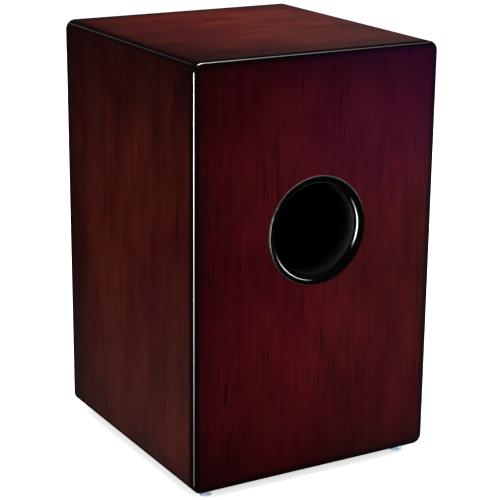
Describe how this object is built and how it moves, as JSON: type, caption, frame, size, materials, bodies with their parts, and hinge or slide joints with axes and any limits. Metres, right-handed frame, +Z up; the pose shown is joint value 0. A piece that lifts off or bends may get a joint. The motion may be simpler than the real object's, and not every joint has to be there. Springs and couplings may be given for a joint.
{
  "type": "cajon",
  "caption": "Box drum: a glossy wooden case with a flared round port in the back, a screwed-on front playing face, inner snare wires on a bar and clear rubber feet.",
  "frame": {"origin": "on the plane the feet stand on, under the middle of the box", "axes": "+Z up; the playing face looks along -Y and the bass port along +Y; X runs across the width"},
  "size_m": [0.3, 0.316, 0.48],
  "materials": {
    "case_lacquer": "high-gloss dark red-brown lacquer over vertical grain, shaded to black at the edges",
    "face_veneer": "satin dark red-brown veneer",
    "inner_wood": "planed softwood and beech with a dark stain",
    "port_plastic": "polished black moulding",
    "gasket_rubber": "grey foam rubber",
    "clear_rubber": "clear soft bumper rubber",
    "black_screw": "black cross-head screw",
    "zinc_steel": "zinc-plated",
    "snare_steel": "plain steel wire and plate"
  },
  "bodies": {
    "case": {"back_bottom_batten": "inner_wood", "back_left_batten": "inner_wood", "back_panel": "case_lacquer", "back_right_batten": "inner_wood", "back_top_batten": "inner_wood", "bass_port": "port_plastic", "bottom_left_glue_block": "inner_wood", "bottom_panel": "case_lacquer", "bottom_right_glue_block": "inner_wood", "face_screws": "black_screw", "foot_back_left": "clear_rubber", "foot_back_right": "clear_rubber", "foot_front_left": "clear_rubber", "foot_front_right": "clear_rubber", "foot_screws": "zinc_steel", "foot_washers": "zinc_steel", "front_bottom_batten": "inner_wood", "front_left_batten": "inner_wood", "front_right_batten": "inner_wood", "front_top_batten": "inner_wood", "left_side_panel": "case_lacquer", "playing_face": "face_veneer", "port_gasket": "gasket_rubber", "right_side_panel": "case_lacquer", "snare_bar": "inner_wood", "snare_bar_left_cleat": "inner_wood", "snare_bar_right_cleat": "inner_wood", "snare_bar_screws": "zinc_steel", "snare_clip_screws": "zinc_steel", "snare_left_clip": "snare_steel", "snare_right_clip": "snare_steel", "top_left_glue_block": "inner_wood", "top_panel": "case_lacquer", "top_right_glue_block": "inner_wood"},
    "snare_left": {"snare_left_wires": "snare_steel", "snare_left_end_plate": "snare_steel"},
    "snare_right": {"snare_right_wires": "snare_steel", "snare_right_end_plate": "snare_steel"}
  },
  "joints": [
    {"name": "snare_left_flex", "type": "hinge", "parent": "case", "child": "snare_left", "pos_m": [-0.042, -0.1517, 0.313], "axis": [-0.9511, 0, -0.309], "range_deg": [0, 2], "stiffness_Nm_per_rad": 2, "springref_deg": -0.57},
    {"name": "snare_right_flex", "type": "hinge", "parent": "case", "child": "snare_right", "pos_m": [0.042, -0.1517, 0.313], "axis": [-0.9511, 0, 0.309], "range_deg": [0, 2], "stiffness_Nm_per_rad": 2, "springref_deg": -0.57}
  ]
}
